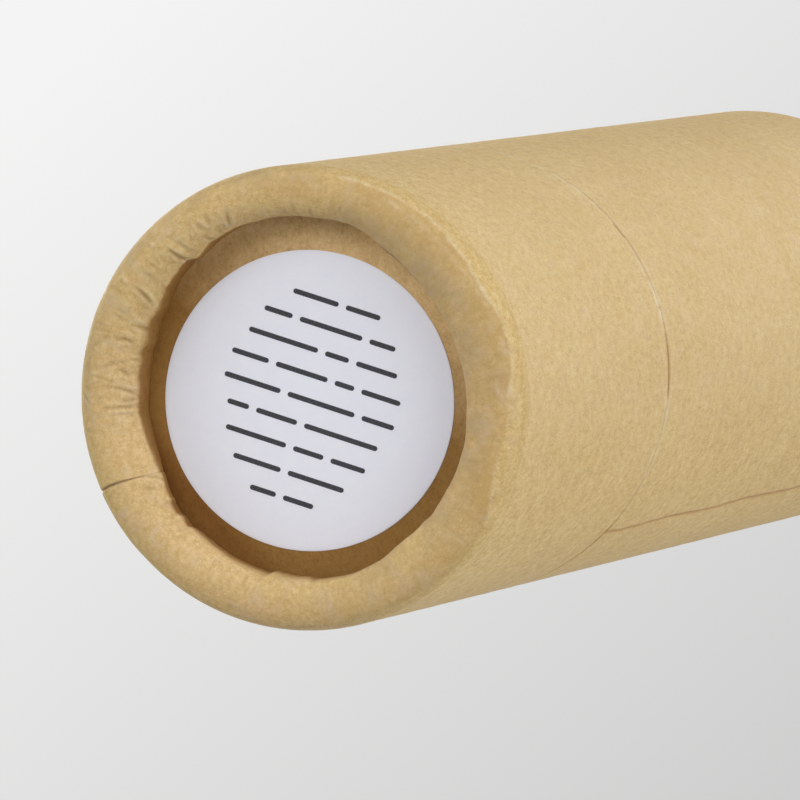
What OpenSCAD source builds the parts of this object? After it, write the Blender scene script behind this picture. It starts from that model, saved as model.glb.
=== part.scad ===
// Twist-up lip balm stick in kraft paper tubes.
// It stands upright on its rolled base rim, +Z up, and the origin is the
// centre of the rim plane. Sizes are in millimetres.

/* [Paper tube] */
// Outside diameter of the base and of the cap
tube_d = 20; // [18:0.5:24]
// Thickness of the kraft facing paper
facing_t = 0.22; // [0.15:0.01:0.3]
// Thickness of the board under the facing
board_t = 0.88; // [0.7:0.02:1]
// Thickness of the smooth lining paper
liner_t = 0.16; // [0.1:0.01:0.2]
// Height of the base, from the rim plane to the cap's mouth
base_h = 23.7; // [20:0.5:30]
// Height of the closed stick
total_h = 76; // [75:0.5:90]

/* [Rolled ends] */
// Radius of the outer corner of a rolled end
rim_out_r = 1.1; // [0.8:0.05:1.15]
// Radius of the inner corner of a rolled end
rim_in_r = 0.85; // [0.5:0.05:0.9]
// Depth of the end disc below the rim plane
recess_d = 2.55; // [1.5:0.05:3]
// Thickness of an end disc
disc_t = 1.0; // [0.8:0.1:1.4]

/* [Facing seams] */
// Width of the step that a lap seam leaves
seam_w = 0.3; // [0.2:0.05:0.5]
// Depth of the step that a lap seam leaves
seam_step = 0.1; // [0.05:0.01:0.14]
// Direction of the base's lap seam
base_seam_a = 76; // [0:1:359]
// Direction of the cap's lap seam
cap_seam_a = 326; // [0:1:359]

/* [Base label] */
// Width of the ring of disc that is left bare round the label
label_margin = 1.31; // [1:0.05:2]
// Thickness of the label
label_t = 0.09; // [0.06:0.01:0.15]
// How far the label sits off centre, across
label_dx = 0.16; // [-0.4:0.02:0.4]
// How far the label sits off centre, up
label_dy = 0.26; // [-0.4:0.02:0.4]

/* [Neck and barrel] */
// Height of the barrel's top above the rim plane
neck_top = 46; // [45:0.5:48]
// Thickness of the neck's paper tube
sleeve_t = 0.8; // [0.6:0.05:0.9]
// Wall of the plastic barrel
barrel_t = 0.6; // [0.5:0.05:0.7]
// Thickness of the barrel's floor
barrel_floor_t = 1.0; // [0.8:0.1:1.4]
// Height of the barrel's top lip
lip_t = 0.4; // [0.3:0.05:0.6]
// How far the lip covers the neck's paper edge
lip_w = 0.5; // [0.3:0.05:0.6]
// Width of the ribs that keep the elevator from turning
rib_w = 1.0; // [0.8:0.1:1.4]
// Depth of those ribs
rib_depth = 0.45; // [0.35:0.05:0.5]

/* [Drive screw] */
// Thickness of the wheel that is glued into the base
wheel_t = 2.0; // [1.5:0.1:2.5]
// Radius of the plain shaft in the barrel's floor
shaft_r = 2.0; // [1.9:0.05:2.2]
// Radius of the snap collar above the floor
collar_r = 2.6; // [2.5:0.05:2.8]
// Height of the snap collar
collar_h = 1.0; // [0.8:0.1:1.2]
// Core radius of the spindle
core_r = 1.6; // [1.4:0.05:1.7]
// Crest radius of the spindle's thread
crest_r = 2.2; // [2.1:0.05:2.4]
// Lead of the thread
lead = 3.25; // [3:0.05:3.25]
// Width of the thread at the core
ridge_root_w = 1.3; // [1.1:0.05:1.4]
// Width of the thread at the crest
ridge_crest_w = 0.7; // [0.5:0.05:0.9]
// Turns from lowered to raised
lift_turns = 8; // [6:1:8]

/* [Elevator and balm] */
// Thickness of the elevator's floor
elevator_floor_t = 1.0; // [0.8:0.1:1.2]
// Height of the cup above the elevator's floor
cup_h = 3.0; // [2:0.5:4]
// Wall of the cup
cup_t = 0.6; // [0.5:0.05:0.8]
// Height of the nut
nut_h = 5.0; // [4.5:0.1:6]
// Wall of the nut
nut_t = 0.85; // [0.7:0.05:1]
// How far the balm's top lies below the barrel's top
balm_drop = 1.0; // [0.5:0.1:2]
// Rounding of the balm's top edge
balm_edge_r = 0.8; // [0.4:0.1:1.2]

/* [Clearances] */
// Glue line between layers that are stuck together
glue = 0.02; // [0.01:0.005:0.04]
// Gap at the joint between the base and the closed cap
joint_gap = 0.1; // [0.05:0.01:0.3]
// Running clearance of the neck in the lined tubes
neck_fit = 0.08; // [0.05:0.01:0.1]
// Running clearance of the shaft in the barrel's floor
shaft_fit = 0.06; // [0.03:0.01:0.1]
// Clearance between pieces that pass each other
running_gap = 0.3; // [0.2:0.05:0.4]
// Clearance of the thread at its crest and root
thread_gap_r = 0.15; // [0.1:0.01:0.18]
// Clearance along the thread's flanks
thread_gap_z = 0.2; // [0.15:0.01:0.25]

/* [Hidden] */
$fn = 96;

kraft = [0.80, 0.66, 0.46];
kraft_dark = [0.70, 0.55, 0.37];
board_tone = [0.74, 0.62, 0.46];
lining_tone = [0.93, 0.90, 0.84];
label_tone = [0.84, 0.85, 0.88];
plastic_tone = [0.93, 0.92, 0.88];
balm_tone = [0.95, 0.88, 0.68];

// Steps in a rounded corner, and segments in one turn of a thread
corner_steps = 8;
thread_steps = 20;
// How far a thread ridge is rooted in what carries it
ridge_root = 0.2;
// How far a cutting shape runs past what it cuts
over = 1;

// Radii from the outside in
tube_r = tube_d / 2;
skin_t = facing_t + glue;
board_r = tube_r - skin_t;
bore_r = board_r - board_t;
fold_r = tube_r - 2 * (skin_t + board_t);
disc_r = bore_r - glue;
label_r = fold_r - label_margin;
liner_r = bore_r - glue;
liner_bore_r = liner_r - liner_t;
sleeve_r = liner_bore_r - neck_fit;
sleeve_bore_r = sleeve_r - sleeve_t;
barrel_r = sleeve_bore_r - glue;
barrel_bore_r = barrel_r - barrel_t;
rib_tip_r = barrel_bore_r - rib_depth;
elevator_r = barrel_bore_r - running_gap;
balm_r = rib_tip_r - running_gap;
nut_bore_r = crest_r + thread_gap_r;
nut_r = nut_bore_r + nut_t;

// Heights from the rim plane up
disc_top = recess_d + disc_t;
wheel_z = disc_top + glue;
wheel_top = wheel_z + wheel_t;
barrel_z = wheel_top + running_gap;
floor_top = barrel_z + barrel_floor_t;
collar_z = floor_top + running_gap;
collar_top = collar_z + collar_h;
elevator_z = collar_top + running_gap;
elevator_floor_top = elevator_z + elevator_floor_t;
cup_top = elevator_floor_top + cup_h;
nut_top = elevator_z + nut_h;
travel = lead * lift_turns;
spindle_top = nut_top + travel + running_gap;
balm_top = neck_top - balm_drop;
cap_z = base_h + joint_gap;
cap_h = total_h - cap_z;

// The outline of a rolled wall, inset from its outside. It runs from the open
// end at height h, down the outside, round the rim and up the inner leg.
function corner(x, z, r, a0) =
    [for (i = [0 : corner_steps])
        let (a = a0 - 90 * i / corner_steps)
        [x + r * cos(a), z + r * sin(a)]];
function rolled_path(inset, h) = concat(
    [[tube_r - inset, h]],
    corner(tube_r - rim_out_r, rim_out_r, rim_out_r - inset, 0),
    corner(fold_r + rim_in_r, rim_in_r, rim_in_r - inset, -90),
    [[fold_r + inset, recess_d - glue]]
);
function reversed(p) = [for (i = [len(p) - 1 : -1 : 0]) p[i]];

// Width of the spindle's ridge at radius r
function ridge_w(r) =
    ridge_root_w + (ridge_crest_w - ridge_root_w) * (r - core_r) / (crest_r - core_r);

// Width of the nut's ridge at radius r
function nut_ridge_w(r) = lead - ridge_w(r) - 2 * thread_gap_z;

module ring(r, bore, h) {
    difference() {
        cylinder(r = r, h = h);
        translate([0, 0, -over])
            cylinder(r = bore, h = h + 2 * over);
    }
}

// Board tube whose lower end is rolled in on itself
module rolled_board(h) {
    path = rolled_path(skin_t, h);
    rotate_extrude()
        polygon(concat(path, [[bore_r, recess_d - glue], [bore_r, h]]));
}

// Facing paper round that tube, with the step of its lap seam
module rolled_facing(h, seam_a) {
    difference() {
        rotate_extrude()
            polygon(concat(rolled_path(0, h), reversed(rolled_path(facing_t, h))));
        rotate([0, 0, seam_a])
            translate([tube_r - seam_step, -seam_w / 2, rim_out_r])
                cube([over, seam_w, h + over]);
    }
}

// Turns a base-end shape over, to close the cap's top
module cap_end() {
    translate([0, 0, total_h])
        mirror([0, 0, 1])
            children();
}

// A helical ridge from angle a0 over a sweep. Its two radii have their own
// widths, and its middle climbs one lead a turn from height z0 at angle 0.
module ridge(r_a, w_a, r_b, w_b, z0, a0, sweep) {
    steps = ceil(thread_steps * sweep / 360);
    section = [[r_a, w_a / 2], [r_b, w_b / 2], [r_b, -w_b / 2], [r_a, -w_a / 2]];
    points = [
        for (i = [0 : steps])
            let (a = a0 + sweep * i / steps)
            for (p = section)
                [p[0] * cos(a), p[0] * sin(a), z0 + lead * a / 360 + p[1]]
    ];
    sides = [
        for (i = [0 : steps - 1])
            for (j = [0 : 3])
                let (k = (j + 1) % 4, b = 4 * i)
                each [[b + j, b + 4 + j, b + k], [b + k, b + 4 + j, b + 4 + k]]
    ];
    last = 4 * steps;
    ends = [[0, 1, 2], [0, 2, 3], [last, last + 2, last + 1], [last, last + 3, last + 2]];
    polyhedron(points = points, faces = concat(sides, ends));
}

module base_tube() {
    color(board_tone)
        rolled_board(base_h);
}

module base_wrap() {
    color(kraft)
        rolled_facing(base_h, base_seam_a);
}

module base_liner() {
    color(lining_tone)
        translate([0, 0, wheel_top + glue])
            ring(liner_r, liner_bore_r, base_h - wheel_top - glue);
}

module base_disc() {
    color(kraft_dark)
        translate([0, 0, recess_d])
            cylinder(r = disc_r, h = disc_t);
}

module base_label() {
    color(label_tone)
        translate([label_dx, label_dy, recess_d - glue - label_t])
            cylinder(r = label_r, h = label_t);
}

// Wheel, shaft, snap collar and threaded spindle in one moulding
module drive_screw() {
    first = collar_top + ridge_root_w / 2;
    last = spindle_top - ridge_root_w / 2;
    color(plastic_tone)
        union() {
            translate([0, 0, wheel_z])
                cylinder(r = disc_r, h = wheel_t);
            translate([0, 0, wheel_top - glue])
                cylinder(r = shaft_r, h = collar_top - wheel_top);
            translate([0, 0, collar_z])
                cylinder(r = collar_r, h = collar_h);
            translate([0, 0, wheel_top])
                cylinder(r = core_r, h = spindle_top - wheel_top);
            ridge(core_r - ridge_root, ridge_w(core_r - ridge_root), crest_r, ridge_crest_w,
                first, 0, 360 * (last - first) / lead);
        }
}

module barrel() {
    color(plastic_tone)
        union() {
            translate([0, 0, barrel_z])
                ring(barrel_r, barrel_bore_r, neck_top - barrel_z);
            translate([0, 0, barrel_z])
                ring(barrel_r - barrel_t / 2, shaft_r + shaft_fit, barrel_floor_t);
            translate([0, 0, neck_top - lip_t])
                ring(barrel_r + lip_w, barrel_bore_r, lip_t);
            for (a = [0, 180])
                rotate([0, 0, a])
                    barrel_rib();
        }
}

module barrel_rib() {
    intersection() {
        translate([rib_tip_r, -rib_w / 2, floor_top - glue])
            cube([barrel_r, rib_w, neck_top - lip_t - floor_top]);
        cylinder(r = barrel_r - barrel_t / 2, h = neck_top);
    }
}

module neck_sleeve() {
    color(kraft)
        translate([0, 0, barrel_z])
            ring(sleeve_r, sleeve_bore_r, neck_top - lip_t - glue - barrel_z);
}

// Nut, floor and cup in one moulding, notched for the barrel's ribs
module elevator() {
    thread_z = collar_top + ridge_root_w / 2 + lead / 2;
    tip_r = core_r + thread_gap_r;
    root_r = nut_bore_r + ridge_root;
    margin = nut_ridge_w(tip_r) / 2 + glue;
    a0 = 360 * (elevator_z + margin + (nut_ridge_w(root_r) - nut_ridge_w(tip_r)) / 2 - thread_z) / lead;
    sweep = 360 * (nut_h - nut_ridge_w(root_r) - 2 * glue) / lead;
    color(plastic_tone)
        union() {
            difference() {
                translate([0, 0, elevator_z])
                    ring(elevator_r, nut_bore_r, elevator_floor_t);
                for (a = [0, 180])
                    rotate([0, 0, a])
                        translate([balm_r, -rib_w / 2 - running_gap, elevator_z - over])
                            cube([tube_r, rib_w + 2 * running_gap, elevator_floor_t + 2 * over]);
            }
            translate([0, 0, elevator_z])
                ring(balm_r, balm_r - cup_t, elevator_floor_t + cup_h);
            translate([0, 0, elevator_z])
                ring(nut_r, nut_bore_r, nut_h);
            ridge(tip_r, nut_ridge_w(tip_r), root_r, nut_ridge_w(root_r), thread_z, a0, sweep);
        }
}

// Stick of balm, cast in the cup and round the nut, with room for the spindle
module balm() {
    seat_r = balm_r - cup_t - glue;
    bore = crest_r + running_gap;
    bore_top = spindle_top + running_gap;
    color(balm_tone)
        rotate_extrude()
            polygon(concat(
                [
                    [nut_r + glue, elevator_floor_top + glue],
                    [seat_r, elevator_floor_top + glue],
                    [seat_r, cup_top + glue],
                    [balm_r, cup_top + glue]
                ],
                reversed(corner(balm_r - balm_edge_r, balm_top - balm_edge_r, balm_edge_r, 90)),
                [
                    [0, balm_top],
                    [0, bore_top],
                    [bore, bore_top],
                    [bore, nut_top + glue],
                    [nut_r + glue, nut_top + glue]
                ]
            ));
}

module cap_tube() {
    color(board_tone)
        cap_end()
            rolled_board(cap_h);
}

module cap_wrap() {
    color(kraft)
        cap_end()
            rolled_facing(cap_h, -cap_seam_a);
}

module cap_liner() {
    color(lining_tone)
        translate([0, 0, cap_z])
            ring(liner_r, liner_bore_r, cap_h - disc_top - glue);
}

module cap_disc() {
    color(kraft_dark)
        cap_end()
            translate([0, 0, recess_d])
                cylinder(r = disc_r, h = disc_t);
}

base_tube();
base_wrap();
base_liner();
base_disc();
base_label();
drive_screw();
barrel();
neck_sleeve();
elevator();
balm();
cap_tube();
cap_wrap();
cap_liner();
cap_disc();
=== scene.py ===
import math

import bpy
import numpy as np
from mathutils import Matrix, Vector


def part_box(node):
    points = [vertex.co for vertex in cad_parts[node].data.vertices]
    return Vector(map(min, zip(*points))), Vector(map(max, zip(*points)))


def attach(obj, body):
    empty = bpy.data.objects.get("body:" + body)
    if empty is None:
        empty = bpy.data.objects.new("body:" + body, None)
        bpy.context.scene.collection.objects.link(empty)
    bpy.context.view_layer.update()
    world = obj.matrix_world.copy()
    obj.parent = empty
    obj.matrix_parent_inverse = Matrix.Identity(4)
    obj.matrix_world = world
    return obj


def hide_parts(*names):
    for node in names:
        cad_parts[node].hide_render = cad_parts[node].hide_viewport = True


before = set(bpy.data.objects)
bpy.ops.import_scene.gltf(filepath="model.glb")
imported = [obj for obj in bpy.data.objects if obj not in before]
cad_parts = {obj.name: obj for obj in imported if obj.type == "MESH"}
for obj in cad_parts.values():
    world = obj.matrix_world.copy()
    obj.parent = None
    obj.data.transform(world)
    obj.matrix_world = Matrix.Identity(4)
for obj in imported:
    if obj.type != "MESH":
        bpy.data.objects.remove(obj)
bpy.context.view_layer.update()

# Units and driving sizes, in millimetres unless a name says otherwise
MM = 0.001
TUBE_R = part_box("base_wrap")[1][0] / MM
BASE_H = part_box("base_wrap")[1][2] / MM
CAP_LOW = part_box("cap_wrap")[0][2] / MM
CAP_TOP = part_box("cap_wrap")[1][2] / MM
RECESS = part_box("base_disc")[0][2] / MM
BOARD_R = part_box("base_tube")[1][0] / MM
NECK_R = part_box("neck_sleeve")[1][0] / MM
LABEL_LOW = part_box("base_label")[0]
LABEL_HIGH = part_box("base_label")[1]
FACING = TUBE_R - BOARD_R

# The rolled end: its width, the height where its sides are straight, and the power of its outline
ROLL_WIDTH = 2.24
RIM_HEIGHT = 1.25
RIM_POWER = 2.25
FOLD_R = TUBE_R - ROLL_WIDTH
# Rim angles where the inner leg starts and where it ends at the disc
FOLD_AT = 180
LEG_END_AT = 240
# How far the leg leans outwards, and its end's distance from the disc
UNDERCUT = 0.16
LEG_GAP = 0.002
# Radius of the paper's edge at the mouth
MOUTH_ROUND = 0.04
# The paper lies a little inside its envelope, so that its bumps stay within it
SKIN_ROOM = 0.05
# Room between the board and the paper's back, at its crest, and the leg's face
BACK_ROOM = 0.02
CREST_ROOM = 0.04
LEG_ROOM = 0.03
# At the mouth the back's edge is at least this much shorter than the face's
BACK_SHORT = 0.005
# The paper's grain runs along the tube, so its texture is drawn out that way on the straight part
LONG_GRAIN = 0.36


# Smooth noise on a grid that wraps round the tube

def ease(t):
    return t * t * (3 - 2 * t)


def lattice_noise(u, v, cells, seed):
    """Smooth noise from 0 to 1. u goes from 0 to 1 once round the tube, and v is free."""
    rng = np.random.default_rng(seed)
    rows = int(math.ceil(float(v.max()))) + 2
    grid = rng.random((rows + 1, cells))
    x = u * cells
    x0 = np.floor(x).astype(int)
    y0 = np.floor(v).astype(int)
    fx = ease(x - x0)
    fy = ease(v - y0)
    x1 = (x0 + 1) % cells
    x0 = x0 % cells
    low = grid[y0, x0] * (1 - fx) + grid[y0, x1] * fx
    high = grid[y0 + 1, x0] * (1 - fx) + grid[y0 + 1, x1] * fx
    return low * (1 - fy) + high * fy


def layered(u, v, cells, seed, layers=3):
    """Layers of that noise, each twice as fine and half as strong, from about -1 to 1."""
    total = np.zeros(np.broadcast(u, v).shape)
    for layer in range(layers):
        scale = 2 ** layer
        total = total + (2 * lattice_noise(u, v * scale, cells * scale, seed + layer) - 1) / scale
    return total / 1.5


def smooth(x, low, high):
    """0 below low, 1 above high and smooth between."""
    return ease(np.clip((x - low) / (high - low), 0, 1))


def turn(a, b):
    """The signed angle from b to a, in degrees."""
    return (a - b + 180) % 360 - 180


def by_direction(theta, table, column):
    """A value that is listed by direction, with straight runs between the listed ones."""
    return np.interp(theta, [row[0] for row in table], [row[column] for row in table], period=360)


# Kraft paper round a tube with a rolled end

def rolled_profile(height, rings):
    """Radius, height, rim angle, length and normal of the paper, from its mouth to its inner end.

    The rim angle is 0 where the outside starts to roll, 90 on the crest, 180 where the inner leg
    starts and 240 at its end.
    """
    r_out = TUBE_R - SKIN_ROOM
    half = (r_out - FOLD_R) / 2
    middle = (r_out + FOLD_R) / 2
    mouth = height - MOUTH_ROUND
    points = []
    for a in np.radians(np.linspace(90, 0, 5)):
        x = r_out - MOUTH_ROUND + MOUTH_ROUND * math.cos(a)
        points.append((x, mouth + MOUTH_ROUND * math.sin(a), 0))
    # The rows of the body lie closer together near the mouth
    for t in np.linspace(0, 1, rings["body"] + 1)[1:] ** 1.5:
        points.append((r_out, mouth - (mouth - RIM_HEIGHT) * t, 0))
    for angle in np.linspace(0, FOLD_AT, rings["rim"] + 1)[1:]:
        c, s = math.cos(math.radians(angle)), math.sin(math.radians(angle))
        x = math.copysign(abs(c) ** (2 / RIM_POWER), c)
        y = abs(s) ** (2 / RIM_POWER)
        z = SKIN_ROOM + (RIM_HEIGHT - SKIN_ROOM) * (1 - y)
        points.append((middle + half * x, z, angle))
    for t in np.linspace(0, 1, rings["leg"] + 1)[1:]:
        z = RIM_HEIGHT + (RECESS - LEG_GAP - RIM_HEIGHT) * t
        points.append((FOLD_R + UNDERCUT * t * t, z, FOLD_AT + (LEG_END_AT - FOLD_AT) * t))
    p = np.array(points)
    step = np.hypot(np.diff(p[:, 0]), np.diff(p[:, 1]))
    length = np.concatenate([[0], np.cumsum(step)])
    tangent = np.gradient(p[:, :2], axis=0)
    tangent /= np.linalg.norm(tangent, axis=1)[:, None]
    normal = np.stack([-tangent[:, 1], tangent[:, 0]], axis=1)
    return p[:, 0], p[:, 1], p[:, 2], length, normal


def backing_profile(height):
    """The paper's hidden side, from the inner leg's end back to the mouth."""
    back = FACING - BACK_ROOM
    leg = FOLD_R + back
    outer = TUBE_R - SKIN_ROOM - back
    rise = RIM_HEIGHT - back - CREST_ROOM
    points = [(leg, RECESS - LEG_GAP), (leg, RIM_HEIGHT)]
    for a in range(165, 0, -15):
        c, s = math.cos(math.radians(a)), math.sin(math.radians(a))
        points.append(((leg + outer) / 2 + (outer - leg) / 2 * c, RIM_HEIGHT - rise * s))
    points += [(outer, RIM_HEIGHT), (outer, height * 0.5), (outer, height)]
    return np.array(points)


def column_angles(count, seam):
    """Directions of the mesh's columns, closer together at the seam."""
    even = np.arange(count) * 360 / count
    near = seam + np.linspace(-2.4, 2.4, 49)
    return np.unique(np.round(np.concatenate([even, near]) % 360, 3))


# A ridge or groove counts up to this many half widths from its line
STROKE_REACH = 5
# A groove's raised lips: their distance and width in its half widths, and their height in its depth
LIP_OFF, LIP_WIDE, LIP_HIGH = 2.2, 1.4, 0.45
# Random ridges and grooves: bend, half length, half width, share of ridges, and strength
STROKE_BEND = 0.12
STROKE_HALF = (0.30, 0.85)
STROKE_WIDE = (0.045, 0.12)
RIDGE_SHARE = 0.34
STROKE_STRENGTH = (0.35, 1.25)


def stroke_field(theta, run, radius, strokes):
    """Height of the paper's ridges and grooves, and how deep and how raised they are."""
    height = np.zeros((len(run), len(theta)))
    groove = np.zeros_like(height)
    crest = np.zeros_like(height)
    for spot, middle, slant, bend, half, wide, high in strokes:
        reach = half + STROKE_REACH * wide
        columns = np.flatnonzero(np.abs(turn(theta, spot)) < np.degrees(reach / FOLD_R) + 2)
        rows = np.flatnonzero(np.abs(run - middle) < reach)
        if not len(columns) or not len(rows):
            continue
        cut = np.ix_(rows, columns)
        y = (run[rows] - middle)[:, None]
        x = np.radians(turn(theta[columns], spot))[None, :] * radius[rows][:, None]
        t = np.clip(np.abs(y * math.cos(slant) + x * math.sin(slant)) / half, 0, 1)
        off = x * math.cos(slant) - y * math.sin(slant) - bend * (1 - t * t)
        taper = (1 - t * t) ** 1.5
        core = high * taper * np.exp(-(off / wide) ** 2)
        height[cut] += core
        if high > 0:
            crest[cut] = np.maximum(crest[cut], core)
            continue
        lips = -high * taper * np.exp(-((np.abs(off) - LIP_OFF * wide) / (LIP_WIDE * wide)) ** 2)
        height[cut] += LIP_HIGH * lips
        groove[cut] = np.maximum(groove[cut], -core)
        crest[cut] = np.maximum(crest[cut], 0.5 * lips)
    return height, groove, crest


def make_strokes(zones, run_at, seed):
    """Random ridges and grooves, zone by zone."""
    rng = np.random.default_rng(seed)
    strokes = []
    for first, last, count, high, low, top, lean in zones:
        for k in range(count):
            spot = first + (last - first) * (k + rng.uniform(0.1, 0.9)) / count
            middle = run_at(rng.uniform(low, top))
            slant = rng.normal(0, lean)
            bend = rng.uniform(-STROKE_BEND, STROKE_BEND)
            half = rng.uniform(*STROKE_HALF)
            wide = rng.uniform(*STROKE_WIDE)
            sign = 1 if rng.random() < RIDGE_SHARE else -1
            strength = sign * high * rng.uniform(*STROKE_STRENGTH)
            strokes.append((spot, middle, slant, bend, half, wide, strength))
    return strokes


def scallop(theta, zones, seed):
    """The inner edge's uneven line: straight runs between corners, inwards and outwards."""
    rng = np.random.default_rng(seed)
    at, value = [], []
    for first, last, count, high in zones:
        for k in range(count):
            at.append(first + (last - first) * (k + rng.uniform(0.15, 0.85)) / count)
            value.append(high * rng.uniform(-1, 1))
    return np.interp(theta, at, value, period=360)


def zone_weight(theta, zones):
    """How crumpled the rolled end is in each direction. A zone fades out over 8 degrees."""
    total = np.zeros_like(theta)
    for first, last, weight in zones:
        half = (last - first) / 2
        away = np.abs(turn(theta, (first + last) / 2))
        total = np.maximum(total, weight * (1 - smooth(away, half, half + 8)))
    return total


def inward_lean(theta, rim, table):
    """How far the inner slope leans in past a plain roll: the table has it at the fold and disc."""
    fold = by_direction(theta, table, 1)
    disc = by_direction(theta, table, 2)
    past_fold = np.clip((rim - FOLD_AT) / (LEG_END_AT - FOLD_AT), 0, 1)
    return fold * smooth(rim, 60, FOLD_AT) + (disc - fold) * past_fold


# The facing's lap: its height, and how far its edge drifts sideways over the roll
LAP_RISE = 0.026
LAP_DRIFT = 0.40


def lap_field(theta, rim, length, spec):
    """Height of the facing's lap, the line along its edge and the lip beside the line."""
    seed = spec["seed"]
    wander = 0.07 * np.sin(length * 0.45 + seed) + 0.02 * np.sin(length * 1.9 + 2 * seed)
    wander = wander + LAP_DRIFT * smooth(rim, 60, FOLD_AT)
    off = spec["side"] * np.radians(turn(theta, spec["seam"])) * TUBE_R - wander
    wide = spec["lap_width"] * (1 - 0.5 * smooth(rim, 80, 130))
    raised = LAP_RISE * smooth(off, -0.03, 0.05) * (1 - smooth(off, 2.2, 3.6))
    line = np.exp(-((off + 0.6 * wide) / wide) ** 2) * (1 - 0.5 * smooth(rim, 100, 150))
    lip = np.exp(-((off - 0.10) / 0.07) ** 2)
    return raised, line, lip


# Heights in the paper's relief: everywhere, on the roll, in its crumpled zones, and along lines
WAVE_HIGH, GRAIN_HIGH = 0.008, 0.004
SLACK_HIGH, INNER_SLACK_HIGH, PUCKER_HIGH = 0.03, 0.05, 0.006
FOLDS_HIGH, FINE_FOLDS_HIGH, CRUMPLED_PUCKER_HIGH = 0.052, 0.024, 0.014
LAP_LINE_DEEP, RIDGE_HIGH = 0.05, 0.03
# Half width of a long ridge, in degrees of the rim angle
RIDGE_HALF = 4.8
# The depth or height at which a groove or a ridge shows in full
STROKE_FULL = 0.11
# The paper's edge at the mouth: where it is frayed it stands up, and at an open joint it is short
FRAYED_RISE, JOINT_SHORT, EDGE_SHORT, EDGE_UNEVEN = 0.042, 0.020, 0.006, 0.010
EDGE_REACH = 0.25


def ridge_field(theta, rim, spec):
    """Long thin ridges round the roll, each along its own path of directions and rim angles."""
    u = theta / 360
    flat = 0 * rim
    ridge = flat + 0 * theta
    for number, (sway, high, path) in enumerate(spec["ridges"]):
        seed = spec["seed"] + number
        first, last = path[0][0], path[-1][0]
        t = turn(theta, (first + last) / 2) / ((last - first) / 2)
        fade = 1 - smooth(np.abs(t), 0.84, 1.0)
        spot = by_direction(theta, path, 1) + sway * layered(u, 0.3 + flat, 60, seed + 60, 2)
        uneven = np.clip(0.66 + 0.7 * layered(u, 0.6 + flat, 26, seed + 66, 2), 0.2, 1.2)
        across = np.exp(-((rim - spot) / RIDGE_HALF) ** 2)
        ridge = np.maximum(ridge, fade * uneven * across * high)
    return ridge


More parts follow.
